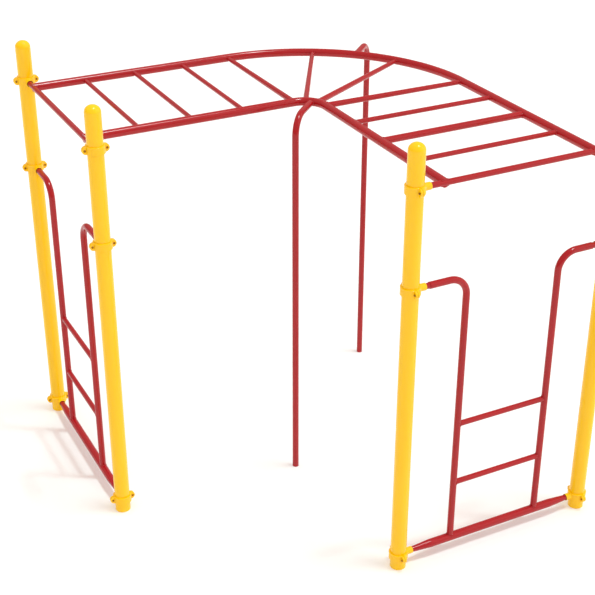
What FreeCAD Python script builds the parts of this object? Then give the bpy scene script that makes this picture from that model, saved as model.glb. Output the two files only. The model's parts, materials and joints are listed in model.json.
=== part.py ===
import FreeCAD, Part
import os
import Sketcher
from FreeCAD import Placement, Rotation, Vector

# L-shaped overhead ladder for a playground: a horizontal ladder that turns 90 degrees between two pairs
# of posts, with a short climbing ladder between each pair.  Millimetres, +Z up.  The origin is on the
# ground, at the centre of the bounding box.  The left arm runs along X and the right arm along Y.

SIZES = {
    # overhead ladder
    "rail_height": 2286.0,        # ground to the centre of the rails and rungs
    "ladder_width": 908.5,        # centre to centre of the two rails
    "inner_bend": 130.2,          # centreline radius of the inner rail's bend
    "rung_pitch": 306.6,
    "bays_per_arm": 4.0,
    "rail_dia": 48.3,
    "rail_wall": 3.2,
    "rail_overrun": 7.0,          # rail end beyond the centre of the end crossbar
    "rung_dia": 26.7,
    "heavy_rung_dia": 38.1,       # the one thicker rung on the right arm
    "flare_dia": 34.0,            # inner end of the rungs in the bend
    "rung_wall": 2.6,
    "crossbar_dia": 31.8,         # also the outside of every other tube end that fits a socket
    "crossbar_wall": 2.9,
    # posts and caps
    "post_dia": 88.9,
    "post_wall": 3.2,
    "post_length": 2482.0,
    "inner_post_gap": 166.9,      # inner rail to inner post, centre to centre
    "outer_post_gap": 156.9,      # outer rail to outer post, centre to centre
    "cap_dome": 40.0,
    "cap_rim": 2.0,
    "cap_wall": 3.0,
    "cap_skirt": 30.0,
    # climbing ladders
    "climb_top": 1740.0,          # centre height of the uprights' horizontal tops
    "climb_base": 80.3,           # centre height of the bottom rails
    "inner_upright": 338.5,       # inner post to the nearer upright
    "outer_upright": 317.1,       # outer post to the nearer upright
    "upright_dia": 38.1,
    "upright_wall": 2.9,
    "upright_bend": 105.0,
    "neck_length": 24.0,          # reduced end of an upright that shows outside its socket
    "neck_taper": 1.0,
    "step_dia": 31.8,
    "upper_step": 841.5,
    "lower_step": 456.3,
    "base_rail_dia": 48.3,
    "base_taper_end": 205.0,      # post centre to where a bottom rail reaches its full size
    # support poles on the diagonal
    "support_dia": 38.1,
    "support_wall": 3.2,
    "support_bend": 108.0,
    "inner_foot": 160.0,          # bend centre to the inner pole, measured away from the rails
    "outer_foot": 1317.9,         # bend centre to the outer pole
    # clamps
    "clamp_radius": 53.0,
    "clamp_height": 45.0,
    "clamp_split": 2.0,
    "ear_reach": 75.0,
    "ear_thick": 10.0,
    "bolt_offset": 61.0,
    "socket_dia": 40.0,
    "socket_end": 86.0,
    "mouth_gap": 3.2,             # clearance around the tube in the recessed mouth of a socket
    "mouth_depth": 16.0,
    "tube_stop": 50.0,            # post centre to the end of a tube in its socket
    "casting_round": 2.0,
    # fasteners
    "bolt_dia": 8.0,
    "bolt_head_dia": 13.0,
    "bolt_head": 4.4,
    "nut_thick": 6.5,
    "key_size": 5.0,
    "screw_dia": 6.0,
    "screw_length": 5.5,
    "screw_key": 3.4,
    "screw_place": 64.0,          # post centre to the set screw in a socket
    "rivet_dia": 4.8,
    "rivet_head_dia": 9.5,
    "rivet_head": 2.2,
    "rivet_length": 8.0,
    "rivet_drop": 15.0,           # post top to the cap rivets
}

# Spreadsheet expressions that several sub-parts share.
ARM = "(Sizes.rung_pitch * Sizes.bays_per_arm)"
OUTER_BEND = "(Sizes.inner_bend + Sizes.ladder_width)"
INNER_POST = "(Sizes.inner_bend - Sizes.inner_post_gap)"
OUTER_POST = "(" + OUTER_BEND + " + Sizes.outer_post_gap)"
POST_SPAN = "(" + OUTER_POST + " - " + INNER_POST + ")"
# The bend centre lies on the diagonal, so that the bounding box is centred on the origin.
CLAMP_BACK = "(Sizes.clamp_radius + Sizes.clamp_split / 2)"
BEND = "((" + ARM + " + Sizes.ear_reach - " + OUTER_POST + " - " + CLAMP_BACK + ") / 2)"

ALONG_X = Rotation(Vector(0, 1, 0), 90)        # turns a primitive's Z axis to X
ALONG_Y = Rotation(Vector(1, 0, 0), -90)       # turns a primitive's Z axis to Y
AGAINST_X = Rotation(Vector(0, 1, 0), -90)
AGAINST_Y = Rotation(Vector(1, 0, 0), 90)
DOWN = Rotation(Vector(1, 0, 0), 180)
ELBOW_UP = Rotation(Vector(-1, 0, 0), Vector(0, 0, 1), Vector(0, 1, 0), "XYZ")
HALF_TURN = Rotation(Vector(0, 0, 1), 180)
UNTURNED = Rotation()
RUNG_NAME = "rung_{:02d}"
HEAVY_RUNG = 10
CLAMP_LEVELS = {
    "top": "Sizes.rail_height",
    "middle": "Sizes.climb_top",
    "bottom": "Sizes.climb_base",
}
CLOSE = 0.1                                    # distance within which two places count as the same


def turned(degrees):
    return Rotation(Vector(0, 0, 1), degrees)


doc = FreeCAD.newDocument("overhead_ladder")
sheet = doc.addObject("Spreadsheet::Sheet", "Sizes")
for row, (alias, number) in enumerate(SIZES.items(), start=1):
    sheet.set("A" + str(row), alias)
    sheet.set("B" + str(row), str(number))
    sheet.setAlias("B" + str(row), alias)
doc.recompute()

nodes = []


def half(alias):
    return "Sizes." + alias + " / 2"


def bore_radius(dia, wall):
    return "Sizes." + dia + " / 2 - Sizes." + wall


def keep(obj, name):
    """Name an object as a sub-part that is written to its own file."""
    obj.Label = name
    nodes.append(obj)
    return obj


def place(obj, x="0", y="0", z="0", turn=UNTURNED):
    """Set an object's rotation, and bind its position to expressions."""
    obj.Placement = Placement(Vector(0, 0, 0), turn)
    for axis, expression in zip("xyz", (x, y, z)):
        if expression != "0":
            obj.setExpression("Placement.Base." + axis, expression)
    return obj


def primitive(kind, sizes, **where):
    obj = doc.addObject("Part::" + kind, kind)
    for prop, expression in sizes.items():
        obj.setExpression(prop, expression)
    return place(obj, **where)


def cylinder(radius, length, **where):
    return primitive("Cylinder", {"Radius": radius, "Height": length}, **where)


def cone(start_radius, end_radius, length, **where):
    return primitive("Cone", {"Radius1": start_radius, "Radius2": end_radius, "Height": length}, **where)


def ring(bend_radius, tube_radius, sweep="360 deg", **where):
    sizes = {"Radius1": bend_radius, "Radius2": tube_radius, "Angle3": sweep}
    return primitive("Torus", sizes, **where)


def fuse(pieces):
    obj = doc.addObject("Part::MultiFuse", "Fusion")
    obj.Shapes = pieces
    obj.Refine = True
    return obj


def cut(base, tools):
    obj = doc.addObject("Part::Cut", "Cut")
    obj.Base = base
    obj.Tool = tools[0] if len(tools) == 1 else fuse(tools)
    return obj


def hollow(radius, wall, length, **where):
    """A plain tube along X."""
    return cut(cylinder(radius, length, turn=ALONG_X, **where),
               [cylinder(radius + " - " + wall, length, turn=ALONG_X, **where)])


def group(name, pieces):
    obj = doc.addObject("Part::Compound", "Group")
    obj.Links = pieces
    return keep(obj, name)


def copy_of(master, x, y, z, turn):
    """A linked copy, moved on from the master's own place."""
    link = doc.addObject("App::Link", "Copy")
    link.LinkedObject = master
    link.LinkTransform = True
    return place(link, x, y, z, turn)


# Where each pair of posts stands: the inner post, with local X towards the outer post.
class Side:
    def __init__(self, name, x, y, degrees, across):
        self.name = name
        self.x = x
        self.y = y
        self.degrees = degrees
        self.across = across                   # world axis that the crossbar follows

    def at(self, distance):
        """World x and y expressions of a point on the crossbar's line."""
        if self.across == "x":
            return self.x + " + " + distance, self.y
        return self.x, self.y + " + " + distance

    def turn(self):
        return turned(self.degrees)

    def turn_back(self):
        return turned(self.degrees + 180)


SIDES = [
    Side("left", BEND + " - " + ARM, BEND + " + " + INNER_POST, 90, "y"),
    Side("right", BEND + " + " + INNER_POST, BEND + " - " + ARM, 0, "x"),
]


def post_places():
    """Each post's name, its x and y, and the turn that points local X at the opposite post."""
    for side in SIDES:
        yield side.name + "_inner", side.x, side.y, side.turn()
        x, y = side.at(POST_SPAN)
        yield side.name + "_outer", x, y, side.turn_back()


def origin_plane(body, role):
    return next(item for item in body.Origin.OriginFeatures if item.Role == role)


def sketch_on(body, role, name):
    sketch = body.newObject("Sketcher::SketchObject", name)
    sketch.AttachmentSupport = [(origin_plane(body, role), "")]
    sketch.MapMode = "FlatFace"
    return sketch


def add_circle(sketch, diameter, height=None):
    """Add a circle on the sketch's vertical axis, at the origin or at a bound height."""
    circle = Part.Circle(Vector(0, 0, 0), Vector(0, 0, 1), 10)
    index = sketch.addGeometry(circle, False)
    size = sketch.addConstraint(Sketcher.Constraint("Diameter", index, 20))
    sketch.setExpression("Constraints[" + str(size) + "]", diameter)
    if height is None:
        sketch.addConstraint(Sketcher.Constraint("Coincident", index, 3, -1, 1))
        return
    sketch.addConstraint(Sketcher.Constraint("PointOnObject", index, 3, -2))
    level = sketch.addConstraint(Sketcher.Constraint("DistanceY", -1, 1, index, 3, 100))
    sketch.setExpression("Constraints[" + str(level) + "]", height)


def make_post(name, x, y, turn):
    """A round steel tube, with a cross hole for the cap's two rivets."""
    body = doc.addObject("PartDesign::Body", "Post")
    section = sketch_on(body, "XY_Plane", "PostSection")
    add_circle(section, "Sizes.post_dia")
    add_circle(section, "Sizes.post_dia - 2 * Sizes.post_wall")
    tube = body.newObject("PartDesign::Pad", "PostTube")
    tube.Profile = section
    tube.setExpression("Length", "Sizes.post_length")
    doc.recompute()
    hole = sketch_on(body, "XZ_Plane", "RivetHole")
    add_circle(hole, "Sizes.rivet_dia", "Sizes.post_length - Sizes.rivet_drop")
    pocket = body.newObject("PartDesign::Pocket", "RivetPocket")
    pocket.Profile = hole
    pocket.Midplane = True
    pocket.setExpression("Length", "Sizes.post_dia + 10")
    body.Tip = pocket
    keep(place(body, x, y, "0", turn), "post_" + name)


def make_cap(name, x, y, turn):
    """A domed cap: its rim rests on the post's end, and its skirt plugs the tube."""
    rim = half("post_dia")
    plug = bore_radius("post_dia", "post_wall")
    dome_sizes = {"Radius1": "Sizes.cap_dome", "Radius2": rim, "Angle1": "0 deg"}
    hollow_sizes = {
        "Radius1": "Sizes.cap_dome - Sizes.cap_wall",
        "Radius2": plug + " - Sizes.cap_wall",
        "Angle1": "0 deg",
    }
    outside = fuse([
        primitive("Ellipsoid", dome_sizes, z="Sizes.cap_rim"),
        cylinder(rim, "Sizes.cap_rim"),
        cylinder(plug, "Sizes.cap_skirt", turn=DOWN),
    ])
    inside = [
        primitive("Ellipsoid", hollow_sizes, z="Sizes.cap_rim"),
        cylinder(plug + " - Sizes.cap_wall", "Sizes.cap_rim"),
        cylinder(plug + " - Sizes.cap_wall", "Sizes.cap_skirt + 1", turn=DOWN),
        cylinder(half("rivet_dia"), "Sizes.post_dia", y="-Sizes.post_dia / 2", z="-Sizes.rivet_drop",
                 turn=ALONG_Y),
    ]
    keep(place(cut(outside, inside), x, y, "Sizes.post_length", turn), "post_cap_" + name)


def ear_plate():
    """The clamp half's flange: a plate with round ends, on the +X side of the split."""
    lobe = "Sizes.ear_reach - Sizes.clamp_height / 2"
    plate_sizes = {
        "Length": "Sizes.ear_thick",
        "Width": "2 * (" + lobe + ")",
        "Height": "Sizes.clamp_height",
    }
    pieces = [primitive("Box", plate_sizes, x="Sizes.clamp_split / 2", y="-(" + lobe + ")",
                        z="-Sizes.clamp_height / 2")]
    for sign in ("", "-"):
        pieces.append(cylinder("Sizes.clamp_height / 2", "Sizes.ear_thick", x="Sizes.clamp_split / 2",
                               y=sign + "(" + lobe + ")", turn=ALONG_X))
    return pieces


def half_collar():
    sizes = {"Radius": "Sizes.clamp_radius", "Height": "Sizes.clamp_height", "Angle": "180 deg"}
    return primitive("Cylinder", sizes, x="Sizes.clamp_split / 2", z="-Sizes.clamp_height / 2",
                     turn=turned(-90))


def clamp_holes():
    """The bore for the post and the two bolt holes."""
    tools = [cylinder("Sizes.post_dia / 2", "2 * Sizes.clamp_height", z="-Sizes.clamp_height")]
    for sign in ("", "-"):
        tools.append(cylinder("Sizes.bolt_dia / 2", "Sizes.clamp_radius", x="0", y=sign + "Sizes.bolt_offset",
                              turn=ALONG_X))
    return tools


def castable_edges(shape):
    """The casting's outer edges: its top and bottom rims, the ears' round ends and the socket's end."""
    ear_face = sheet.clamp_split / 2 + sheet.ear_thick
    rim_level = sheet.clamp_height / 2
    chosen = []
    for number, edge in enumerate(shape.Edges, start=1):
        box = edge.BoundBox
        in_front = box.XMin > ear_face - CLOSE
        on_rim = abs(abs(box.ZMin) - rim_level) < CLOSE and box.ZLength < CLOSE
        facing = box.XLength < CLOSE and edge.Curve.TypeId == "Part::GeomCircle"
        if in_front and (on_rim or facing):
            chosen.append((number, sheet.casting_round, sheet.casting_round))
    return chosen


def rounded(casting):
    """Soften the outer edges of a cast clamp half."""
    doc.recompute()
    obj = doc.addObject("Part::Fillet", "Rounded")
    obj.Base = casting
    obj.Edges = castable_edges(casting.Shape)
    return obj


def make_socket_half(name, x, y, z, turn):
    """The clamp half that carries the socket for a crossbar, an upright or a bottom rail."""
    bore = half("crossbar_dia")
    socket = cylinder(half("socket_dia"), "Sizes.socket_end", turn=ALONG_X)
    casting = rounded(fuse([half_collar(), socket] + ear_plate()))
    mouth = "Sizes.socket_end - Sizes.mouth_depth"
    tools = clamp_holes() + [
        cylinder(bore, "Sizes.socket_end", x="Sizes.tube_stop", turn=ALONG_X),
        cylinder(bore + " + Sizes.mouth_gap", "2 * Sizes.mouth_depth", x=mouth, turn=ALONG_X),
        cylinder(half("screw_dia"), half("socket_dia"), x="Sizes.screw_place", turn=DOWN),
    ]
    keep(place(cut(casting, tools), x, y, z, turn), name)


def make_clamps():
    """Three clamps on each post: one socket half each, and a group of three plain back halves."""
    back_master = cut(rounded(fuse([half_collar()] + ear_plate())), clamp_holes())
    for post_name, x, y, turn in post_places():
        backs = []
        for level, height in CLAMP_LEVELS.items():
            make_socket_half("clamp_socket_" + post_name + "_" + level, x, y, height, turn)
            backs.append(copy_of(back_master, x, y, height, turn.multiply(HALF_TURN)))
        group("clamp_backs_" + post_name, backs)


def bent_tube_solid(radius, bend, height, reach):
    """A rod that rises along Z, bends through 90 degrees and runs along X."""
    return [
        cylinder(radius, height + " - " + bend),
        ring(bend, radius, "90 deg", x=bend, z=height + " - " + bend, turn=ELBOW_UP),
        cylinder(radius, reach + " - " + bend, x=bend, z=height, turn=ALONG_X),
    ]


def make_rail(name, bend, end_bars):
    """One rail: a straight run on each arm, joined by the bend, notched over both end crossbars."""
    arm = ARM + " + Sizes.rail_overrun"
    rods = []
    for radius in (half("rail_dia"), bore_radius("rail_dia", "rail_wall")):
        rods.append(fuse([
            ring(bend, radius, "90 deg"),
            cylinder(radius, arm, y=bend, turn=AGAINST_X),
            cylinder(radius, arm, x=bend, turn=AGAINST_Y),
        ]))
    rail = cut(rods[0], [rods[1]] + end_bars)
    keep(place(rail, BEND, BEND, "Sizes.rail_height"), name)


def crossbar_rods():
    """The space of both end crossbars, about the bend centre at rail height."""
    radius = half("crossbar_dia")
    return [
        cylinder(radius, POST_SPAN, x="-" + ARM, y=INNER_POST, turn=ALONG_Y),
        cylinder(radius, POST_SPAN, x=INNER_POST, y="-" + ARM, turn=ALONG_X),
    ]


def make_rail_end_plates():
    """The plates that close the rails' ends, above and below the crossbars."""
    plug = bore_radius("rail_dia", "rail_wall")
    plates = []
    for bend in ("Sizes.inner_bend", OUTER_BEND):
        plates.append(cylinder(plug, "Sizes.rail_wall", x="-" + ARM + " - Sizes.rail_overrun", y=bend,
                               turn=ALONG_X))
        plates.append(cylinder(plug, "Sizes.rail_wall", x=bend, y="-" + ARM + " - Sizes.rail_overrun",
                               turn=ALONG_Y))
    discs = doc.addObject("Part::Compound", "Discs")
    discs.Links = plates
    keep(place(cut(discs, crossbar_rods()), BEND, BEND, "Sizes.rail_height"), "rail_end_plates")


def make_crossbar(side):
    bar = hollow(half("crossbar_dia"), "Sizes.crossbar_wall", POST_SPAN + " - 2 * Sizes.tube_stop",
                 x="Sizes.tube_stop")
    keep(place(bar, side.x, side.y, "Sizes.rail_height", side.turn()), "end_crossbar_" + side.name)


def rung_ends_on_arm():
    """The rails' outsides where they run straight past a rung that lies along X."""
    reach = "Sizes.rail_dia"
    radius = half("rail_dia")
    return [
        cylinder(radius, "2 * " + reach, x="Sizes.inner_bend", y="-" + reach, turn=ALONG_Y),
        cylinder(radius, "2 * " + reach, x=OUTER_BEND, y="-" + reach, turn=ALONG_Y),
    ]


def rung_ends_in_bend():
    return [
        ring("Sizes.inner_bend", half("rail_dia")),
        ring(OUTER_BEND, half("rail_dia")),
    ]


def rung_ends_at_bend_start(bend_turn, arm_turn):
    """The rails' outsides beside a rung where the bend meets an arm."""
    ends = []
    for bend in ("Sizes.inner_bend", OUTER_BEND):
        ends.append(fuse([
            ring(bend, half("rail_dia"), "90 deg", turn=bend_turn),
            cylinder(half("rail_dia"), "Sizes.rung_pitch / 2", x=bend, turn=arm_turn),
        ]))
    return ends


def make_rung(number, dia, x, y, turn):
    """A straight rung, saddle cut to both rails."""
    tube = hollow(half(dia), "Sizes.rung_wall", "Sizes.ladder_width", x="Sizes.inner_bend")
    rung = place(cut(tube, rung_ends_on_arm()), x, y, "Sizes.rail_height", turn)
    keep(rung, RUNG_NAME.format(number))


def make_flared_rung(number, degrees, ends):
    """A rung in the bend: it widens towards the inner rail."""
    start, finish = half("flare_dia"), half("rung_dia")
    wall = " - Sizes.rung_wall"
    rod = cone(start, finish, "Sizes.ladder_width", x="Sizes.inner_bend", turn=ALONG_X)
    bore = cone(start + wall, finish + wall, "Sizes.ladder_width", x="Sizes.inner_bend", turn=ALONG_X)
    rung = cut(rod, [bore] + ends)
    keep(place(rung, BEND, BEND, "Sizes.rail_height", turned(degrees)), RUNG_NAME.format(number))


def make_rungs():
    """Ten rungs between the end crossbars, numbered from the left arm's end."""
    for bay in (3, 2, 1):
        along = BEND + " - Sizes.rung_pitch * " + str(bay)
        make_rung(5 - bay, "rung_dia", along, BEND, turned(90))
        right_number = 8 + bay
        dia = "heavy_rung_dia" if right_number == HEAVY_RUNG else "rung_dia"
        make_rung(right_number, dia, BEND, along, UNTURNED)
    make_flared_rung(5, 90, rung_ends_at_bend_start(turned(-90), ALONG_Y))
    make_flared_rung(6, 60, rung_ends_in_bend())
    make_flared_rung(7, 30, rung_ends_in_bend())
    make_flared_rung(8, 0, rung_ends_at_bend_start(UNTURNED, AGAINST_Y))


def make_support_pole(name, foot, rail_bend, direction, turn):
    """A pole that rises from the ground on the diagonal and bends over to meet a rail.

    direction is 1 where the rail's bend lies beyond the bend centre, and -1 where it lies before it.
    """
    bend = "Sizes.support_bend"
    reach = "(" + foot + (" + " if direction > 0 else " - ") + rail_bend + ")"
    radius = half("support_dia")
    rod = fuse(bent_tube_solid(radius, bend, "Sizes.rail_height", reach))
    bore = fuse(bent_tube_solid(radius + " - Sizes.support_wall", bend, "Sizes.rail_height", reach))
    rail = ring(rail_bend, half("rail_dia"), "180 deg", x=foot, z="Sizes.rail_height",
                turn=turned(-90 * direction))
    ground = "(" + BEND + " - " + str(direction) + " * " + foot + " * sqrt(0.5))"
    keep(place(cut(rod, [bore, rail]), ground, ground, "0", turn), name)


def upright_solid(radius, neck_radius, gap):
    """An upright: it rises from the bottom rail and bends out into its post's middle socket."""
    height = "(Sizes.climb_top - Sizes.climb_base)"
    taper = "(" + gap + " - Sizes.socket_end - Sizes.neck_length)"
    neck = "(" + taper + " + Sizes.neck_taper)"
    neck_run = gap + " - Sizes.tube_stop - " + neck
    return bent_tube_solid(radius, "Sizes.upright_bend", height, taper) + [
        cone(radius, neck_radius, "Sizes.neck_taper", x=taper, z=height, turn=ALONG_X),
        cylinder(neck_radius, neck_run, x=neck, z=height, turn=ALONG_X),
    ]


def make_upright(name, gap, x, y, turn):
    wall = " - Sizes.upright_wall"
    rod = fuse(upright_solid(half("upright_dia"), half("crossbar_dia"), gap))
    bore = fuse(upright_solid(half("upright_dia") + wall, half("crossbar_dia") + wall, gap))
    base_rail = cylinder(half("base_rail_dia"), "4 * Sizes.base_rail_dia", x="-2 * Sizes.base_rail_dia",
                         turn=ALONG_X)
    keep(place(cut(rod, [bore, base_rail]), x, y, "Sizes.climb_base", turn), name)


def base_rail_solid(radius, end_radius):
    """The bottom rail: full size under the uprights, and drawn down to its socket ends."""
    start = "Sizes.base_taper_end"
    finish = "(" + POST_SPAN + " - Sizes.base_taper_end)"
    mouth = "(" + POST_SPAN + " - Sizes.socket_end)"
    inside = "Sizes.socket_end - Sizes.tube_stop"
    return [
        cylinder(end_radius, inside, x="Sizes.tube_stop", turn=ALONG_X),
        cone(end_radius, radius, start + " - Sizes.socket_end", x="Sizes.socket_end", turn=ALONG_X),
        cylinder(radius, finish + " - " + start, x=start, turn=ALONG_X),
        cone(radius, end_radius, mouth + " - " + finish, x=finish, turn=ALONG_X),
        cylinder(end_radius, inside, x=mouth, turn=ALONG_X),
    ]


def make_base_rail(side):
    wall = " - Sizes.rail_wall"
    rod = fuse(base_rail_solid(half("base_rail_dia"), half("crossbar_dia")))
    bore = fuse(base_rail_solid(half("base_rail_dia") + wall, half("crossbar_dia") + wall))
    keep(place(cut(rod, [bore]), side.x, side.y, "Sizes.climb_base", side.turn()), "bottom_rail_" + side.name)


def make_step(side, level):
    """A step between the two uprights, saddle cut to both."""
    start = "Sizes.inner_upright"
    length = "(" + POST_SPAN + " - Sizes.inner_upright - Sizes.outer_upright)"
    tall = "2 * Sizes.upright_dia"
    tube = hollow(half("step_dia"), "Sizes.crossbar_wall", length, x=start)
    posts = [
        cylinder(half("upright_dia"), tall, x=start, z="-Sizes.upright_dia"),
        cylinder(half("upright_dia"), tall, x=start + " + " + length, z="-Sizes.upright_dia"),
    ]
    step = place(cut(tube, posts), side.x, side.y, "Sizes." + level + "_step", side.turn())
    keep(step, "step_" + side.name + "_" + level)


def make_climbing_ladder(side):
    make_base_rail(side)
    x, y = side.at("Sizes.inner_upright")
    make_upright("upright_" + side.name + "_inner", "Sizes.inner_upright", x, y, side.turn_back())
    x, y = side.at("(" + POST_SPAN + " - Sizes.outer_upright)")
    make_upright("upright_" + side.name + "_outer", "Sizes.outer_upright", x, y, side.turn())
    for level in ("lower", "upper"):
        make_step(side, level)


def button_head(radius, thickness):
    """A domed head that stands on the plane X = 0, with a hexagonal key recess."""
    dome = "((" + radius + ")^2 + (" + thickness + ")^2) / (2 * " + thickness + ")"
    ball = primitive("Sphere", {"Radius": dome}, x=thickness + " - " + dome)
    disc = cylinder(radius, thickness, turn=ALONG_X)
    head = doc.addObject("Part::Common", "ButtonHead")
    head.Base = ball
    head.Tool = disc
    return head


def key_recess(thickness):
    sizes = {"Circumradius": half("key_size"), "Height": thickness}
    return primitive("Prism", sizes, x=thickness + " / 2", turn=ALONG_X)


def make_bolt_master():
    """A button-head bolt along X, its head on the socket half's ear."""
    shank = "(2 * Sizes.ear_thick + Sizes.clamp_split + Sizes.nut_thick / 2)"
    ear_face = "(Sizes.clamp_split / 2 + Sizes.ear_thick)"
    solid = fuse([
        button_head(half("bolt_head_dia"), "Sizes.bolt_head"),
        cylinder(half("bolt_dia"), shank, turn=AGAINST_X),
    ])
    return place(cut(solid, [key_recess("Sizes.bolt_head")]), x=ear_face)


def make_nut_master():
    """A round closed nut that sits on the back half's ear and covers the bolt's end."""
    ear_face = "(-Sizes.clamp_split / 2 - Sizes.ear_thick)"
    solid = button_head(half("bolt_head_dia"), "Sizes.nut_thick")
    thread = cylinder(half("bolt_dia"), "Sizes.nut_thick / 2", turn=ALONG_X)
    return place(cut(solid, [thread]), x=ear_face, turn=HALF_TURN)


def pair_master(single):
    """The same fastener in both of a clamp's ears."""
    pair = doc.addObject("Part::Compound", "Pair")
    pair.Links = [copy_of(single, "0", sign + "Sizes.bolt_offset", "0", UNTURNED) for sign in ("", "-")]
    return pair


def make_clamp_fasteners():
    for name, single in (("clamp_bolts", make_bolt_master()), ("clamp_nuts", make_nut_master())):
        pair = pair_master(single)
        copies = []
        for _, x, y, turn in post_places():
            copies += [copy_of(pair, x, y, height, turn) for height in CLAMP_LEVELS.values()]
        group(name, copies)


def make_set_screws():
    """One grub screw under each socket, bearing on the tube inside it."""
    low_end = "-Sizes.crossbar_dia / 2 - Sizes.screw_length"
    body = cylinder(half("screw_dia"), "Sizes.screw_length", x="Sizes.screw_place", z=low_end)
    key_sizes = {"Circumradius": half("screw_key"), "Height": half("screw_length")}
    key = primitive("Prism", key_sizes, x="Sizes.screw_place", z=low_end)
    screw = cut(body, [key])
    copies = []
    for _, x, y, turn in post_places():
        copies += [copy_of(screw, x, y, height, turn) for height in CLAMP_LEVELS.values()]
    group("socket_set_screws", copies)


def make_cap_rivets():
    """Two rivets hold each cap: a domed head outside the post, and a shank through its wall."""
    shank = cylinder(half("rivet_dia"), "Sizes.rivet_length", turn=AGAINST_X)
    rivet = fuse([button_head(half("rivet_head_dia"), "Sizes.rivet_head"), shank])
    place(rivet, x=half("post_dia"))
    height = "Sizes.post_length - Sizes.rivet_drop"
    copies = []
    for _, x, y, turn in post_places():
        for quarter in (90, -90):
            copies.append(copy_of(rivet, x, y, height, turn.multiply(turned(quarter))))
    group("cap_rivets", copies)


def check_model():
    """Stop before anything is written if an object failed or a sub-part is not a sound solid."""
    for obj in doc.Objects:
        if "Invalid" in obj.State or "Error" in obj.State:
            raise RuntimeError("failed object: " + obj.Name + " " + str(obj.State))
    for node in nodes:
        shape = node.Shape
        if shape.isNull() or not shape.isValid() or not shape.Solids:
            raise RuntimeError("bad shape: " + node.Label)


def write_parts():
    os.makedirs("parts", exist_ok=True)
    for node in nodes:
        node.Shape.exportStep("parts/" + node.Label + ".step")


for post in post_places():
    make_post(*post)
    make_cap(*post)
make_clamps()
make_rail("outer_rail", OUTER_BEND, crossbar_rods())
make_rail("inner_rail", "Sizes.inner_bend", crossbar_rods())
make_rail_end_plates()
for arm_side in SIDES:
    make_crossbar(arm_side)
    make_climbing_ladder(arm_side)
make_rungs()
make_support_pole("support_pole_inner", "Sizes.inner_foot", "Sizes.inner_bend", 1, turned(45))
make_support_pole("support_pole_outer", "Sizes.outer_foot", OUTER_BEND, -1, turned(225))
make_clamp_fasteners()
make_set_screws()
make_cap_rivets()
doc.recompute()
check_model()
write_parts()
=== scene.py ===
import bpy
import json
import math
from mathutils import Matrix, Vector


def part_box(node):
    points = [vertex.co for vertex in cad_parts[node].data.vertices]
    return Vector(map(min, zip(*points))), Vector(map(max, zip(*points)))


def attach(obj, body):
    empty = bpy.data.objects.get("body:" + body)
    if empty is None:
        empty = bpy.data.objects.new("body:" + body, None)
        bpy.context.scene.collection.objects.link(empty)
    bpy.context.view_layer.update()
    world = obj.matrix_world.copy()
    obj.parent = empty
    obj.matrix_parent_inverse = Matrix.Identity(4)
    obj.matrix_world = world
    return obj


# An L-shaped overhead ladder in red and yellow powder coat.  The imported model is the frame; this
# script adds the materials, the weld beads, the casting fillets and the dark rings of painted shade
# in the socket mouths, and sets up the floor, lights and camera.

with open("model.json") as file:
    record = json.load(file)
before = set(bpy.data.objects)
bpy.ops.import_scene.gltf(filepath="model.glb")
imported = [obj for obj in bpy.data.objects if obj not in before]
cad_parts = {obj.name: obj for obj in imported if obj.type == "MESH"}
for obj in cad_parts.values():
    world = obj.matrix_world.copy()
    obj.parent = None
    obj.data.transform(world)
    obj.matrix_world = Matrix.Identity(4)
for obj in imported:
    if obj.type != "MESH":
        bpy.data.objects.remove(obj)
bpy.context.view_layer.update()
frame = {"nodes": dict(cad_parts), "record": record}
nodes = frame["nodes"]
MM = 0.001
UP = Vector((0, 0, 1))

RED_SLOT = "red_powder_coat"
YELLOW_SLOT = "yellow_powder_coat"
STEEL_SLOT = "zinc_hardware"


# ---------------------------------------------------------------- materials

def new_material(name):
    material = bpy.data.materials.new(name)
    material.use_nodes = True
    tree = material.node_tree
    shader = next(node for node in tree.nodes if node.type == "BSDF_PRINCIPLED")
    place = tree.nodes.new("ShaderNodeTexCoord")
    return material, tree, shader, place.outputs["Object"]


def noise(tree, place, scale, detail):
    """A noise value from 0 to 1, with `scale` features to the metre."""
    node = tree.nodes.new("ShaderNodeTexNoise")
    node.inputs["Scale"].default_value = scale
    node.inputs["Detail"].default_value = detail
    tree.links.new(place, node.inputs["Vector"])
    return node.outputs["Fac"]


def spread(tree, value, low, high, start=0.3, end=0.7):
    """Map the part of a value between `start` and `end` onto the range from `low` to `high`."""
    node = tree.nodes.new("ShaderNodeMapRange")
    node.inputs["From Min"].default_value = start
    node.inputs["From Max"].default_value = end
    node.inputs["To Min"].default_value = low
    node.inputs["To Max"].default_value = high
    tree.links.new(value, node.inputs["Value"])
    return node.outputs["Result"]


def blend_colours(tree, factor, first, second):
    """Mix two colours; each is either a colour or a socket."""
    node = tree.nodes.new("ShaderNodeMix")
    node.data_type = "RGBA"
    tree.links.new(factor, node.inputs["Factor"])
    for socket, colour in (("A", first), ("B", second)):
        target = next(s for s in node.inputs if s.name == socket and s.type == "RGBA")
        if isinstance(colour, bpy.types.NodeSocket):
            tree.links.new(colour, target)
        else:
            target.default_value = (*colour, 1.0)
    return next(s for s in node.outputs if s.type == "RGBA")


def bump(tree, height, strength, distance, under=None):
    """A bumped normal, laid over the normal `under` if one is given."""
    node = tree.nodes.new("ShaderNodeBump")
    node.inputs["Strength"].default_value = strength
    node.inputs["Distance"].default_value = distance
    tree.links.new(height, node.inputs["Height"])
    if under is not None:
        tree.links.new(under, node.inputs["Normal"])
    return node.outputs["Normal"]


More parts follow.
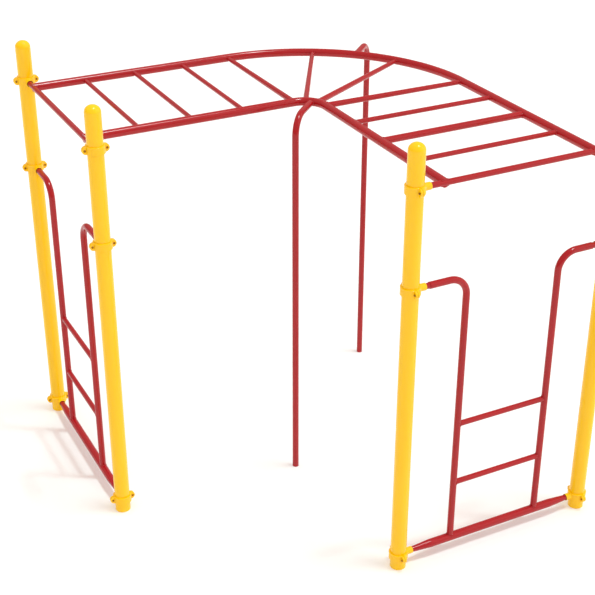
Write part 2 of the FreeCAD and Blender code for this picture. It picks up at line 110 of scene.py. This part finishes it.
def powder_coat(name, tone, deep, light, casting=False):
    """Glossy baked powder: a slow drift in shade, fine flecks and an orange-peel skin."""
    material, tree, shader, place = new_material(name)
    drift = spread(tree, noise(tree, place, scale=2.6, detail=3.0), low=0.0, high=0.55)
    fleck = spread(tree, noise(tree, place, scale=240.0, detail=2.0),
                   low=0.0, high=0.16, start=0.45, end=0.75)
    colour = blend_colours(tree, drift, tone, deep)
    colour = blend_colours(tree, fleck, colour, light)
    tree.links.new(colour, shader.inputs["Base Color"])
    gloss = spread(tree, noise(tree, place, scale=9.0, detail=4.0), low=0.13, high=0.20)
    tree.links.new(gloss, shader.inputs["Roughness"])
    skin = bump(tree, noise(tree, place, scale=420.0, detail=2.0),
                strength=0.12, distance=0.3 * MM)
    if casting:
        skin = bump(tree, noise(tree, place, scale=130.0, detail=3.0),
                    strength=0.22, distance=1.2 * MM, under=skin)
    tree.links.new(skin, shader.inputs["Normal"])
    shader.inputs["Specular IOR Level"].default_value = 0.42
    return material


def hardware_tone_and_painted_shade(name, dark, light, metallic):
    """Coated fastener steel with a mottled film; the same finish, near black, makes the rings of
    painted shade.
    """
    material, tree, shader, place = new_material(name)
    mottle = spread(tree, noise(tree, place, scale=160.0, detail=4.0), low=0.0, high=1.0)
    tree.links.new(blend_colours(tree, mottle, dark, light), shader.inputs["Base Color"])
    gloss = spread(tree, noise(tree, place, scale=300.0, detail=3.0), low=0.38, high=0.60)
    tree.links.new(gloss, shader.inputs["Roughness"])
    film = bump(tree, noise(tree, place, scale=700.0, detail=2.0),
                strength=0.2, distance=0.3 * MM)
    tree.links.new(film, shader.inputs["Normal"])
    shader.inputs["Metallic"].default_value = metallic
    shader.inputs["Specular IOR Level"].default_value = 0.2
    return material


red = powder_coat("red_powder",
                  tone=(0.41, 0.006, 0.010), deep=(0.34, 0.005, 0.008), light=(0.50, 0.013, 0.019))
yellow = powder_coat("yellow_powder",
                     tone=(1.0, 0.60, 0.002), deep=(0.99, 0.56, 0.002), light=(1.0, 0.65, 0.008))
yellow_cast = powder_coat("yellow_powder_casting", casting=True,
                          tone=(1.0, 0.59, 0.002), deep=(0.98, 0.53, 0.002),
                          light=(1.0, 0.64, 0.008))
# The hardware's dark yellow-brown is partly its own coating and partly painted shade: it stands for
# the shade and yellow bounce light in the bolts' recesses.
steel = hardware_tone_and_painted_shade("hardware_tone_and_painted_shade",
                     dark=(0.26, 0.09, 0.001), light=(0.44, 0.18, 0.004), metallic=0.2)
# Painted shade: a near-black finish for the rings that stand for the shade in the socket mouths.
painted_shade_finish = hardware_tone_and_painted_shade("painted_shade_ring",
                         dark=(0.020, 0.003, 0.001), light=(0.040, 0.007, 0.002), metallic=0.0)


def dress_frame():
    """Give every CAD node its finished material, by the record's slots."""
    finishes = {RED_SLOT: red, YELLOW_SLOT: yellow, STEEL_SLOT: steel}
    for part in frame["record"]["subparts"]:
        piece = nodes[part["node"]]
        finish = finishes[part["material_slot"]]
        if part["node"].startswith("clamp_") and finish is yellow:
            finish = yellow_cast
        for slot in piece.material_slots:
            slot.material = finish


# ---------------------------------------------------------------- places read from the frame

def middle(node):
    low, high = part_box(node)
    return (low + high) / 2


def size(node):
    low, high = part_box(node)
    return high - low


def direction(degrees):
    """A level unit vector, counted from +X towards +Y."""
    angle = math.radians(degrees)
    return Vector((math.cos(angle), math.sin(angle), 0))


RAIL_R = size("outer_rail").z / 2
RAIL_Z = middle("outer_rail").z
BEND_AT = middle("rung_08").y
BEND_CENTRE = Vector((BEND_AT, BEND_AT, RAIL_Z))
INNER_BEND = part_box("inner_rail")[1].x - RAIL_R - BEND_AT
OUTER_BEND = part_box("outer_rail")[1].x - RAIL_R - BEND_AT
RUNG_R = size("rung_02").z / 2
BAR_R = size("end_crossbar_right").z / 2
STEP_R = size("step_right_lower").z / 2
UPRIGHT_R = size("upright_right_inner").y / 2
BASE_R = size("bottom_rail_right").z / 2
POLE_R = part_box("support_pole_outer")[1].z - RAIL_Z
COLLAR_R = size("clamp_backs_right_outer").x
SOCKET_R = 20.0 * MM          # the sockets' boxes hold their collars too, so this size is given

# The end crossbars stand for rungs 1 and 12, so the rungs are numbered from 2.
RUNGS = range(2, 12)
FIRST_BEND_RUNG = 5
LAST_BEND_RUNG = 8
CURVED_RAIL_RUNGS = (6, 7)    # rungs 5 and 8 meet the rails where the bend begins and ends
RUNG_TURN = 30                # degrees between two rungs of the bend

ACROSS = {"left": direction(90), "right": direction(0)}    # from an arm's inner rail to its outer
ALONG = {"left": direction(180), "right": direction(270)}  # from the bend to an arm's end


# ---------------------------------------------------------------- beads around tube joints

WELD_W = 3.2 * MM             # radius of a weld bead's section
RIPPLE = 3.6 * MM             # length of one ripple along a bead
RIPPLE_STEPS = 8
RIPPLE_RISE = 0.10            # how far a ripple changes the bead's radius
CROSSBAR_WELD_REACH = 116     # degrees each way around a crossbar, where the rail has metal
FILLET_W = 3.0 * MM           # radius of the section of a cast fillet
SHADE_RING_W = 1.55 * MM            # radius of the section of the painted-shade ring in a socket's mouth
SHADE_RING_INSET = 1.8 * MM
BEAD_SIDES = 10
RING_STEPS = 48


class Beads:
    """Collects beads into one mesh, so that the beads of one kind are one piece."""

    def __init__(self):
        self.points = []
        self.faces = []

    def add(self, centres, outward, lift, radii, closed):
        start = len(self.points)
        count = len(centres)
        for centre, out, radius in zip(centres, outward, radii):
            for side in range(BEAD_SIDES):
                turn = 2 * math.pi * side / BEAD_SIDES
                offset = out * math.cos(turn) + lift * math.sin(turn)
                self.points.append(centre + offset * radius)
        for ring in range(count if closed else count - 1):
            here = start + ring * BEAD_SIDES
            after = start + (ring + 1) % count * BEAD_SIDES
            for side in range(BEAD_SIDES):
                other = (side + 1) % BEAD_SIDES
                self.faces.append((here + side, after + side, after + other, here + other))
        if not closed:
            self.faces.append(tuple(start + side for side in range(BEAD_SIDES)))
            last = start + (count - 1) * BEAD_SIDES
            self.faces.append(tuple(last + side for side in reversed(range(BEAD_SIDES))))

    def saddle(self, origin, along, across, guest, host, bend=0.0,
               width=WELD_W, rippled=True, arc=None):
        """A bead where a tube of radius `guest` meets one of radius `host`.

        origin lies on the host's centreline, along points out through the guest, across follows
        the host.  bend is the host's bend radius, negative where the guest meets it from inside
        the bend.  arc, in radians, is the part of the joint that has a bead.
        """
        third = along.cross(across)
        first, last = arc or (0.0, 2 * math.pi)
        ripples = round(guest * (last - first) / RIPPLE)
        count = ripples * RIPPLE_STEPS
        centres, outward, radii = [], [], []
        for step in range(count if arc is None else count + 1):
            angle = first + (last - first) * step / count
            side = guest * math.cos(angle)
            height = guest * math.sin(angle)
            reach = math.sqrt(host ** 2 - height ** 2)
            if bend > 0:
                reach = math.sqrt((bend + reach) ** 2 - side ** 2) - bend
            elif bend < 0:
                reach = -bend - math.sqrt((-bend - reach) ** 2 - side ** 2)
            centres.append(origin + along * reach + across * side + third * height)
            outward.append(across * math.cos(angle) + third * math.sin(angle))
            wave = math.cos(2 * math.pi * ripples * step / count) if rippled else 0.0
            radii.append(width * (1 + RIPPLE_RISE * wave))
        self.add(centres, outward, along, radii, closed=arc is None)

    def ring(self, centre, axis, radius, width):
        """A plain round ring about a level tube."""
        third = axis.cross(UP)
        outward = []
        for step in range(RING_STEPS):
            angle = 2 * math.pi * step / RING_STEPS
            outward.append(UP * math.cos(angle) + third * math.sin(angle))
        centres = [centre + out * radius for out in outward]
        self.add(centres, outward, axis, [width] * RING_STEPS, closed=True)

    def build(self, name, material, slot):
        mesh = bpy.data.meshes.new(name)
        mesh.from_pydata([tuple(point) for point in self.points], [], self.faces)
        mesh.materials.append(material)
        mesh.update()
        for face in mesh.polygons:
            face.use_smooth = True
        piece = bpy.data.objects.new(name, mesh)
        bpy.context.scene.collection.objects.link(piece)
        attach(piece, "root")


def weld_rungs():
    beads = Beads()
    for number in RUNGS:
        node = "rung_%02d" % number
        radius = outer_radius = size(node).z / 2
        if number < FIRST_BEND_RUNG:
            across = ACROSS["left"]
            base = Vector((middle(node).x, BEND_AT, RAIL_Z))
        elif number <= LAST_BEND_RUNG:
            across = direction((LAST_BEND_RUNG - number) * RUNG_TURN)
            base = BEND_CENTRE
            outer_radius = min(radius, RUNG_R)
        else:
            across = ACROSS["right"]
            base = Vector((BEND_AT, middle(node).y, RAIL_Z))
        tangent = UP.cross(across)
        curved = number in CURVED_RAIL_RUNGS
        beads.saddle(base + across * INNER_BEND, across, tangent, radius, RAIL_R,
                     bend=INNER_BEND if curved else 0.0)
        beads.saddle(base + across * OUTER_BEND, -across, tangent, outer_radius, RAIL_R,
                     bend=-OUTER_BEND if curved else 0.0)
    beads.build("rung_welds", red, RED_SLOT)


def weld_crossbars():
    """The rails' notched ends are welded to the crossbars, on the side where the rail has metal."""
    beads = Beads()
    reach = math.radians(CROSSBAR_WELD_REACH)
    for bend in (INNER_BEND, OUTER_BEND):
        for side, across in ACROSS.items():
            along = ALONG[side]
            origin = BEND_CENTRE + across * bend
            distance = (middle("end_crossbar_" + side) - origin).dot(along)
            origin = origin + along * distance
            for outwards in (across, -across):
                beads.saddle(origin, outwards, -along, BAR_R, RAIL_R, arc=(-reach, reach))
    beads.build("crossbar_welds", red, RED_SLOT)


def upright_axis(side, place, height):
    """A point on the vertical run of an upright."""
    low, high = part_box("upright_%s_%s" % (side, place))
    centre = (low + high) / 2
    across = ACROSS[side]
    edge = high if place == "inner" else low
    inset = -UPRIGHT_R if place == "inner" else UPRIGHT_R
    along = edge.dot(across) + inset
    point = centre - across * centre.dot(across) + across * along
    return Vector((point.x, point.y, height))


def weld_climbing_ladders():
    steps, feet = Beads(), Beads()
    for side, across in ACROSS.items():
        for level in ("lower", "upper"):
            centre = middle("step_%s_%s" % (side, level))
            for place, inward in (("inner", across), ("outer", -across)):
                origin = upright_axis(side, place, centre.z)
                steps.saddle(origin, inward, UP, STEP_R, UPRIGHT_R)
        for place in ("inner", "outer"):
            origin = upright_axis(side, place, middle("bottom_rail_" + side).z)
            feet.saddle(origin, UP, across, UPRIGHT_R, BASE_R)
    steps.build("step_welds", red, RED_SLOT)
    feet.build("upright_welds", red, RED_SLOT)


def weld_poles():
    """Both poles meet their rails on the diagonal, from the side that faces away from the rungs."""
    beads = Beads()
    diagonal = direction(45)
    tangent = UP.cross(diagonal)
    beads.saddle(BEND_CENTRE + diagonal * INNER_BEND, -diagonal, tangent, POLE_R, RAIL_R,
                 bend=-INNER_BEND)
    beads.saddle(BEND_CENTRE + diagonal * OUTER_BEND, diagonal, tangent, POLE_R, RAIL_R,
                 bend=OUTER_BEND)
    beads.build("pole_welds", red, RED_SLOT)


def sockets():
    """Each clamp socket: a point on its post's axis, its direction, where it starts and ends."""
    for side, across in ACROSS.items():
        for place, inward in (("inner", across), ("outer", -across)):
            post = middle("post_%s_%s" % (side, place))
            for level in ("top", "middle", "bottom"):
                low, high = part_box("clamp_socket_%s_%s_%s" % (side, place, level))
                reaches = [abs((corner - post).dot(across)) for corner in (low, high)]
                origin = Vector((post.x, post.y, (low.z + high.z) / 2))
                yield origin, inward, min(reaches), max(reaches)


def fillet_castings():
    """The cast fillet where each socket grows out of its clamp's collar."""
    beads = Beads()
    for origin, inward, start, _ in sockets():
        beads.saddle(origin + inward * start, inward, UP, SOCKET_R, COLLAR_R,
                     width=FILLET_W, rippled=False)
    beads.build("casting_fillets", yellow_cast, YELLOW_SLOT)


def paint_socket_mouth_shade():
    """Painted shade: a dark ring around the tube in the recessed mouth of each socket, where the
    gap is in shade.
    """
    beads = Beads()
    for origin, inward, _, end in sockets():
        beads.ring(origin + inward * (end - SHADE_RING_INSET), inward, BAR_R + SHADE_RING_W, SHADE_RING_W)
    beads.build("socket_mouth_shade_rings", painted_shade_finish, STEEL_SLOT)


# ---------------------------------------------------------------- stage

FLOOR_HALF = 60.0             # so wide that low views don't show its edge
HORIZON_LIGHT = 0.43
OVERHEAD_LIGHT = 0.97
DOME_FADE_TOP = 0.5           # height on the unit sphere from which the dome is at its brightest
DOME_COLOUR = (1.0, 0.89, 0.84)
GLOSS_DIMMING = 0.65          # what the gloss reflects of the dome's light
WHITE = (1.0, 1.0, 1.0)

KEY_AZIMUTH = -32.6
KEY_ELEVATION = 73.7
KEY_BLOCKERS = ("upright", "step", "bottom_rail")
LAMP_DISTANCE = 8.0           # a sun shines the same from anywhere; this keeps it off the object

CAMERA_AT = Vector((-3.1054, -6.0386, 4.7463))
CAMERA_YAW = 26.742           # from +Y towards +X
CAMERA_PITCH = 27.950         # below the horizon
CAMERA_ROLL = -0.099
CAMERA_LENS = 78.56
CAMERA_SENSOR = 36.0
CAMERA_SHIFT = (0.0083, -0.0047)
CAMERA_CLIP_END = 200.0


def make_floor():
    mesh = bpy.data.meshes.new("floor")
    half = FLOOR_HALF
    corners = [(-half, -half, 0), (half, -half, 0), (half, half, 0), (-half, half, 0)]
    mesh.from_pydata(corners, [], [(0, 1, 2, 3)])
    material, tree, shader, place = new_material("floor_paper")
    colour = blend_colours(tree, noise(tree, place, scale=1.5, detail=3.0),
                           (0.93, 0.93, 0.93), (0.90, 0.90, 0.90))
    tree.links.new(colour, shader.inputs["Base Color"])
    shader.inputs["Roughness"].default_value = 0.9
    shader.inputs["Specular IOR Level"].default_value = 0.1
    mesh.materials.append(material)
    floor = bpy.data.objects.new("floor", mesh)
    bpy.context.scene.collection.objects.link(floor)


def make_world():
    """A studio dome of light, darker towards the horizon.

    It shows as a plain white backdrop, and its reflection in the gloss is dimmed, as by dark
    studio walls.
    """
    world = bpy.data.worlds.new("studio")
    world.use_nodes = True
    tree = world.node_tree
    place = tree.nodes.new("ShaderNodeTexCoord")
    axes = tree.nodes.new("ShaderNodeSeparateXYZ")
    tree.links.new(place.outputs["Generated"], axes.inputs["Vector"])
    ray = tree.nodes.new("ShaderNodeLightPath")
    dome = spread(tree, axes.outputs["Z"], low=HORIZON_LIGHT, high=OVERHEAD_LIGHT,
                  start=0.0, end=DOME_FADE_TOP)
    dimming = spread(tree, ray.outputs["Is Glossy Ray"], low=1.0, high=GLOSS_DIMMING,
                     start=0.0, end=1.0)
    strength = tree.nodes.new("ShaderNodeMath")
    strength.operation = "MULTIPLY"
    tree.links.new(dome, strength.inputs[0])
    tree.links.new(dimming, strength.inputs[1])
    background = tree.nodes["Background"]
    background.inputs["Color"].default_value = (*DOME_COLOUR, 1.0)
    tree.links.new(strength.outputs["Value"], background.inputs["Strength"])
    backdrop = tree.nodes.new("ShaderNodeBackground")
    backdrop.inputs["Color"].default_value = (*WHITE, 1.0)
    mix = tree.nodes.new("ShaderNodeMixShader")
    sources = (ray.outputs["Is Camera Ray"], background.outputs[0], backdrop.outputs[0])
    for source, target in zip(sources, mix.inputs):
        tree.links.new(source, target)
    tree.links.new(mix.outputs[0], tree.nodes["World Output"].inputs["Surface"])
    bpy.context.scene.world = world


def make_sun(name, energy, angle, azimuth, elevation, colour):
    """A distant light `angle` degrees wide; azimuth is where it comes from, counted from +X."""
    light = bpy.data.lights.new(name, "SUN")
    light.energy = energy
    light.angle = math.radians(angle)
    light.color = colour
    lamp = bpy.data.objects.new(name, light)
    flat = math.cos(math.radians(elevation))
    source = direction(azimuth) * flat + UP * math.sin(math.radians(elevation))
    lamp.rotation_euler = source.to_track_quat("Z", "Y").to_euler()
    lamp.location = source * LAMP_DISTANCE
    bpy.context.scene.collection.objects.link(lamp)
    return lamp


def block_only_with(lamp, prefixes):
    """Let only the named nodes cast shadows from this light, so the high parts cast none."""
    blockers = bpy.data.collections.new(lamp.name + "_blockers")
    for name, piece in nodes.items():
        if name.startswith(prefixes):
            blockers.objects.link(piece)
    lamp.light_linking.blocker_collection = blockers


def make_lights():
    """A key light in two parts, soft and sharp, and a broad low light from the same side."""
    make_sun("key_soft", energy=0.80, angle=14.0, azimuth=KEY_AZIMUTH, elevation=KEY_ELEVATION,
             colour=(0.86, 0.99, 1.0))
    key = make_sun("key", energy=0.60, angle=3.5, azimuth=KEY_AZIMUTH, elevation=KEY_ELEVATION,
                   colour=(0.66, 0.98, 1.0))
    block_only_with(key, KEY_BLOCKERS)
    make_sun("side", energy=0.60, angle=70.0, azimuth=-32.0, elevation=18.0,
             colour=(1.0, 1.0, 0.95))


def make_camera():
    data = bpy.data.cameras.new("camera")
    data.lens = CAMERA_LENS
    data.sensor_width = CAMERA_SENSOR
    data.shift_x, data.shift_y = CAMERA_SHIFT
    data.clip_end = CAMERA_CLIP_END
    camera = bpy.data.objects.new("camera", data)
    yaw, pitch, roll = (math.radians(a) for a in (CAMERA_YAW, CAMERA_PITCH, CAMERA_ROLL))
    flat = math.cos(pitch)
    ahead = Vector((math.sin(yaw) * flat, math.cos(yaw) * flat, -math.sin(pitch)))
    level_right = Vector((math.cos(yaw), -math.sin(yaw), 0))
    level_top = level_right.cross(ahead)
    right = level_right * math.cos(roll) + level_top * math.sin(roll)
    top = level_top * math.cos(roll) - level_right * math.sin(roll)
    turn = Matrix((right, top, -ahead)).transposed()
    camera.matrix_world = Matrix.Translation(CAMERA_AT) @ turn.to_4x4()
    bpy.context.scene.collection.objects.link(camera)
    bpy.context.scene.camera = camera


dress_frame()
weld_rungs()
weld_crossbars()
weld_climbing_ladders()
weld_poles()
fillet_castings()
paint_socket_mouth_shade()
make_floor()
make_world()
make_lights()
make_camera()
bpy.context.scene.view_settings.view_transform = "Standard"
